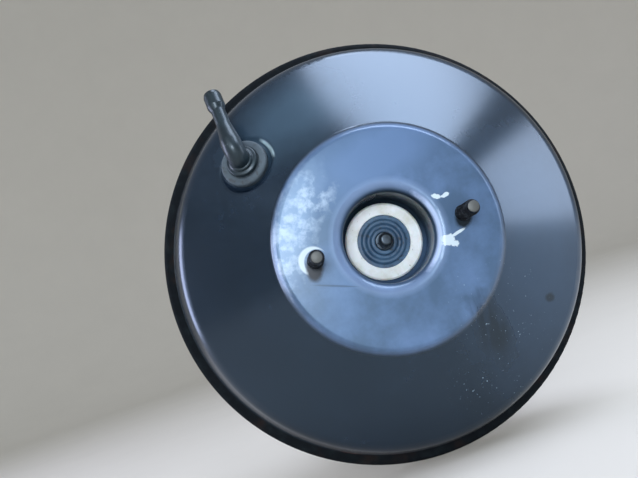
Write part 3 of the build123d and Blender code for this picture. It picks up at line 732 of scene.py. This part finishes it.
class BOOSTER_OT_studs(bpy.types.Operator):
    """Cuts the threads of the master-cylinder and bulkhead studs"""

    bl_idname = "booster.studs"
    bl_label = "Studs"

    def execute(self, context):
        for name, places, y, facing, grip, out in (
            ("master_cylinder_studs", MC_STUDS, FRONT_Y, -1, MC_STUD_GRIP, MC_STUD_OUT),
            ("bulkhead_studs", REAR_STUDS, 0.0, 1, REAR_STUD_GRIP, REAR_STUD_OUT),
        ):
            studs = [threaded_stud(about((x, y, z), (0, facing, 0)), grip, out) for x, z in places]
            seat_in(joined(name + "_threaded", studs), CASE, name, "thread")
        return {"FINISHED"}


class BOOSTER_OT_front_seal(bpy.types.Operator):
    """Moulds the convoluted seal round the output rod and finishes its retaining ring"""

    bl_idname = "booster.front_seal"
    bl_label = "Front seal"

    def execute(self, context):
        floor, flange = POCKET_FLOOR_Y, POCKET_FLOOR_Y - SEAL_FLANGE_T
        corners = [
            (SEAL_LIP_R, floor - 4.2, 0.5), (7.2, floor - 4.2, 1.0), (7.6, floor - 1.5, 0.8),
            (9.2, floor - 1.6, 0.8), (10.2, floor - 3.0, 0.7), (11.6, floor - 3.0, 0.7), (12.6, flange, 0.6),
            (SEAL_FLANGE_R, flange), (SEAL_FLANGE_R, floor), (SEAL_HOLE_R, floor),
            (SEAL_HOLE_R, floor + 2.4, 0.5), (14.0, floor + 2.4, 0.5), (13.0, floor + 0.6, 0.5),
            (8.6, floor + 0.6, 0.5), (7.6, floor + 3.6, 0.6), (SEAL_LIP_R, floor + 3.6, 0.4),
        ]
        made = lathe("front_seal_moulded", rounded(corners), BOOSTER_AXIS, 160)
        seat_in(made, CASE, "front_seal", "seal_rubber")
        dress(NODES["seal_retaining_ring"], "white_nylon")
        return {"FINISHED"}


class BOOSTER_OT_check_valve(bpy.types.Operator):
    """Moulds the grommet and finishes the check valve"""

    bl_idname = "booster.check_valve"
    bl_label = "Check valve"

    def execute(self, context):
        place = about(GROMMET_PLACE, GROMMET_AXIS)
        corners = [
            (GROMMET_BORE_R, -6.0), (10.6, -6.0, 1.2), (11.4, -1.65, 0.5), (GROMMET_GROOVE_R, -1.6),
            (GROMMET_GROOVE_R, 0.0), (GROMMET_R, 0.0, 0.3), (GROMMET_R, GROMMET_OUT, 1.4),
            (9.4, GROMMET_OUT, 0.6), (8.6, 3.4, 0.4), (GROMMET_BORE_R, 3.4, 0.4),
        ]
        made = lathe("grommet_moulded", rounded(corners), place, 96)
        seat_in(made, CASE, "grommet", "grommet_rubber")
        for name in ("check_valve_elbow", "check_valve_seat"):
            dress(NODES[name], "black_nylon")
        dress(NODES["check_valve_disc"], "rubber")
        squashed_spring(
            "check_valve_spring", VALVE, VALVE_SPRING, place)
        return {"FINISHED"}


class BOOSTER_OT_dust_boot(bpy.types.Operator):
    """Moulds the bellows between the neck and the input rod"""

    bl_idname = "booster.dust_boot"
    bl_label = "Dust boot"

    def execute(self, context):
        cuff = lathe("dust_boot_neck", boot_cuff_outline(), BOOSTER_AXIS)
        outer, inner = bellows_outline()
        folds = lathe("dust_boot_bellows", outer + inner[::-1], BOOSTER_AXIS, 160)
        end = lathe("dust_boot_end", boot_end_outline(), BOOSTER_AXIS)
        for piece, body in ((cuff, CASE), (folds, CASE), (end, ROD)):
            seat_in(piece, body, "dust_boot", "rubber")
        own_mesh(folds)
        return {"FINISHED"}


def boot_cuff_outline():
    """The thick collar of the boot that grips the shell's neck."""
    bore_r = NECK_R + 0.05
    return rounded([
        (bore_r, BOOT_LIP_Y, 0.4), (BOOT_LIP_R, BOOT_LIP_Y, 1.2), (BOOT_LIP_R, BOOT_LIP_Y + 3.2, 1.0),
        (BOOT_NECK_R, BOOT_LIP_Y + 4.4, 0.8), (BOOT_NECK_R, BOOT_FIXED_Y, 0.4), (bore_r, BOOT_FIXED_Y, 0.3),
    ])


def boot_end_outline(cuff_r=8.6, wall=1.5):
    """The cone of the boot and the beaded collar that grips the input rod."""
    base_y, cuff_y, bore_r = BOOT_SHOULDER_Y - 1.2, BOOT_TOP_Y - 9.0, ROD_R + 0.05
    return rounded([
        (BOOT_BASE_R, base_y, 0.4), (BOOT_BASE_R + 0.6, BOOT_SHOULDER_Y + 1.0, 1.0), (cuff_r, cuff_y, 3.0),
        (cuff_r, cuff_y + 4.4, 0.6), (cuff_r + 0.8, cuff_y + 5.2, 0.5),
        (cuff_r + 0.8, BOOT_TOP_Y - 0.6, 0.6), (cuff_r - 0.6, BOOT_TOP_Y, 0.4), (bore_r, BOOT_TOP_Y, 0.3),
        (bore_r, cuff_y + 1.0, 0.4), (7.0, cuff_y - 1.0, 0.8), (BOOT_BASE_R - wall, BOOT_SHOULDER_Y, 0.6),
        (BOOT_BASE_R - wall, base_y, 0.4),
    ])


def bellows_outline(ridges=4, first_y=28.8, pitch=8.2, wall=1.2):
    """The outer and inner outline of the boot's narrowing folds."""
    start_y = BOOT_FIXED_Y - 0.6
    outer, inner = [(BOOT_NECK_R, start_y)], [(BOOT_NECK_R - wall, start_y)]
    for i in range(ridges):
        crest, y = 31.0 - 1.2 * i, first_y + pitch * i
        valley = 24.6 - 0.3 * i
        outer += [(valley, y - pitch / 2, 1.0), (crest, y, 1.3)]
        inner += [(valley - wall, y - pitch / 2, 1.6), (crest - 1.6 * wall, y, 0.6)]
    end_y = BOOT_SHOULDER_Y + 0.2
    outer += [(23.4, end_y, 1.0), (14.0, end_y + 0.6)]
    inner += [(23.4 - 1.4 * wall, end_y - wall, 0.6), (14.0, end_y + 0.6 - wall)]
    return rounded(outer, False), rounded(inner, False)


class BOOSTER_OT_input_rod(bpy.types.Operator):
    """Rolls the input rod's thread and plates the rod, nut and clevis"""

    bl_idname = "booster.input_rod"
    bl_label = "Input rod"

    def execute(self, context):
        pitch = context.scene.booster_threads.rod_pitch / MM
        low, high = ROD_THREAD_Y + 1.0, ROD_END_Y - 1.2
        ball_end = math.acos(ROD_NECK_R / BALL_R)
        steps = 20
        turns = [-math.pi / 2 + (ball_end + math.pi / 2) * i / steps for i in range(1, steps + 1)]
        outline = [(0, BALL_Y - BALL_R)]
        outline += [(BALL_R * math.cos(turn), BALL_Y + BALL_R * math.sin(turn)) for turn in turns]
        outline += [(ROD_NECK_R, 6.2), (ROD_NECK_R + 0.3, 7.0), (ROD_R, 7.8), (ROD_R, ROD_THREAD_Y),
                    (ROD_THREAD_R, ROD_THREAD_Y + 0.4)]
        outline += [(ROD_THREAD_R, h) for h in thread_heights(low, high, pitch)]
        outline += [(ROD_THREAD_R, ROD_END_Y - 0.8), (ROD_THREAD_R - 0.8, ROD_END_Y), (0, ROD_END_Y)]

        def shape(radius, height, turn):
            if low < height < high:
                return radius - thread_depth(height, turn, pitch, low, high)
            return radius

        facets = context.scene.booster_threads.facets
        made = lathe("input_rod_threaded", outline, BOOSTER_AXIS, facets, False, shape)
        seat_in(made, ROD, "input_rod", "zinc")
        for name in ("lock_nut", "clevis", "rod_spring_seat"):
            dress(NODES[name], "zinc")
        return {"FINISHED"}


class BOOSTER_OT_internals(bpy.types.Operator):
    """Finishes what the shells hide"""

    bl_idname = "booster.internals"
    bl_label = "Internals"

    def execute(self, context):
        for finish, names in {
            "zinc": ("front_reinforcement_plate", "rear_reinforcement_plate", "stop_key", "diaphragm_plate",
                     "plate_retainer", "output_rod_clip", "hub_seal_retainer", "poppet_retainer"),
            "steel": ("output_rod", "output_rod_adjuster"),
            "spring": ("poppet_spring",),
            "rubber": ("diaphragm", "hub_seal", "reaction_disc", "poppet_valve"),
            "phenolic": ("valve_body", "valve_plunger"),
            "black_nylon": ("hub_bearing", "filter_retainer"),
            "foam": ("air_filter",),
            "felt": ("silencer",),
        }.items():
            for name in names:
                dress(NODES[name], finish)
        squashed_spring(
            "return_spring", CASE, MAIN_SPRING, BOOSTER_AXIS)
        squashed_spring(
            "input_rod_return_spring", PISTON, ROD_SPRING, BOOSTER_AXIS)
        return {"FINISHED"}


# ---- stage ---------------------------------------------------------------------------------------
CAMERA_PLACE = Vector((-56.5, -448.4, -23.3))
CAMERA_AZIMUTH, CAMERA_ELEVATION, CAMERA_ROLL = -3.50, -5.36, -18.32
FOCAL_PX, IMAGE_WIDTH_PX, SENSOR_MM = 700.0, 638, 36.0


def stand_camera():
    """Stands the camera in front of the master-cylinder face, rolled a little."""
    azimuth, elevation, roll = (math.radians(a) for a in (CAMERA_AZIMUTH, CAMERA_ELEVATION, CAMERA_ROLL))
    ahead = -Vector((math.sin(azimuth) * math.cos(elevation), -math.cos(azimuth) * math.cos(elevation),
                     math.sin(elevation)))
    level = ahead.cross(Vector((0, 0, 1))).normalized()
    above = level.cross(ahead)
    right = level * math.cos(roll) + above * math.sin(roll)
    up = above * math.cos(roll) - level * math.sin(roll)
    data = bpy.data.cameras.new("camera")
    data.sensor_width = SENSOR_MM
    data.lens = FOCAL_PX / IMAGE_WIDTH_PX * SENSOR_MM
    data.clip_start, data.clip_end = 0.01, 20.0
    camera = bpy.data.objects.new("camera", data)
    bpy.context.scene.collection.objects.link(camera)
    turn = Matrix((right, up, -ahead)).transposed().to_4x4()
    camera.matrix_world = Matrix.Translation(CAMERA_PLACE * MM) @ turn
    bpy.context.scene.camera = camera


def softbox(name, direction, distance, size, power, colour):
    """A rectangular lamp that looks at the middle of the front face."""
    aim = Vector((0, -0.07, 0))
    data = bpy.data.lights.new(name, "AREA")
    data.shape = "RECTANGLE"
    data.size, data.size_y = size
    data.energy = power
    data.color = linear(colour)
    lamp = bpy.data.objects.new(name, data)
    lamp.visible_camera = False
    bpy.context.scene.collection.objects.link(lamp)
    toward = Vector(direction).normalized()
    lamp.location = aim + toward * distance
    lamp.rotation_euler = toward.to_track_quat("Z", "Y").to_euler()


def floor_profile(radius=1800.0, bend=900.0, wall=2000.0, steps=16):
    """A round floor at the height of the rim's lowest point, whose edge bends up into a wall."""
    profile = [(0, -RIM_R), (radius * 0.5, -RIM_R)]
    for i in range(steps + 1):
        turn = math.pi / 2 * i / steps
        profile.append((radius + bend * math.sin(turn), -RIM_R + bend * (1 - math.cos(turn))))
    return profile + [(radius + bend, -RIM_R + wall)]


class BOOSTER_OT_stage(bpy.types.Operator):
    """Sets the camera, the softboxes and the seamless floor"""

    bl_idname = "booster.stage"
    bl_label = "Stage"

    def execute(self, context):
        stage = context.scene.booster_stage
        context.scene.view_settings.view_transform = "Standard"
        stand_camera()
        softbox("overhead_softbox", (0.47, -0.19, 0.86), 1.0, (0.45, 0.95), stage.key, "#dfe9ff")
        softbox("right_softbox", (0.98, -0.155, 0.10), 1.2, (0.30, 0.65), stage.side, "#dfe9ff")
        softbox("left_softbox", (-0.97, 0.16, 0.14), 1.2, (0.5, 0.8), stage.edge, "#dfe0ff")
        softbox("window", (-0.16, -0.97, 0.15), 1.6, (0.5, 0.5), stage.window, "#e8f1ff")
        softbox("fill_softbox", (-0.45, -0.79, 0.42), 1.8, (1.2, 1.2), stage.fill, "#f0f5ff")
        floor = lathe("seamless_floor", floor_profile(), Matrix.Identity(4), 96, False)
        material, tree, shader, where = started("matt_painted_floor", Roughness=0.9)
        shade = grain(tree, where, 60.0, 0.3, 0.7, 3.0)
        pale = (*stage.floor, 1.0)
        layered(tree, shader, pale, 0.9, [(shade, tuple(0.97 * c for c in pale[:3]) + (1.0,), 0.92)])
        path = add(tree, "ShaderNodeLightPath").outputs
        seen = either(tree, path["Is Camera Ray"], path["Is Transmission Ray"])
        tree.links.new(faint(tree, seen, stage.glow), shader.inputs["Emission Strength"])
        shader.inputs["Emission Color"].default_value = pale
        floor.data.materials.append(material)
        world = bpy.data.worlds.new("studio_world")
        world.use_nodes = True
        light = world.node_tree.nodes["Background"].inputs
        light["Color"].default_value = solid("#dfe6ee")
        light["Strength"].default_value = stage.sky
        context.scene.world = world
        return {"FINISHED"}


OPERATORS = (
    BOOSTER_OT_stage, BOOSTER_OT_shells, BOOSTER_OT_studs, BOOSTER_OT_front_seal, BOOSTER_OT_check_valve,
    BOOSTER_OT_dust_boot, BOOSTER_OT_input_rod, BOOSTER_OT_internals,
)


class BOOSTER_PT_panel(bpy.types.Panel):
    """Buttons for each piece and the settings behind them"""

    bl_idname = "BOOSTER_PT_panel"
    bl_label = "Brake booster"
    bl_space_type = "VIEW_3D"
    bl_region_type = "UI"
    bl_category = "Booster"

    def draw(self, context):
        scene = context.scene
        for group in (scene.booster_enamel, scene.booster_threads, scene.booster_stage):
            box = self.layout.box()
            for name in group.__annotations__:
                box.prop(group, name)
        for operator in OPERATORS:
            self.layout.operator(operator.bl_idname)


CLASSES = (EnamelSettings, ThreadSettings, StageSettings, *OPERATORS, BOOSTER_PT_panel)


def register():
    """Registers the classes and the scene's settings."""
    for cls in CLASSES:
        bpy.utils.register_class(cls)
    bpy.types.Scene.booster_enamel = PointerProperty(type=EnamelSettings)
    bpy.types.Scene.booster_threads = PointerProperty(type=ThreadSettings)
    bpy.types.Scene.booster_stage = PointerProperty(type=StageSettings)


def unregister():
    """Takes the settings and the classes out again."""
    for name in ("booster_enamel", "booster_threads", "booster_stage"):
        delattr(bpy.types.Scene, name)
    for cls in reversed(CLASSES):
        bpy.utils.unregister_class(cls)


def main():
    """Builds the pieces and the stage."""
    register()
    for operator in OPERATORS:
        group, name = operator.bl_idname.split(".")
        getattr(getattr(bpy.ops, group), name)()


if __name__ == "__main__":
    main()
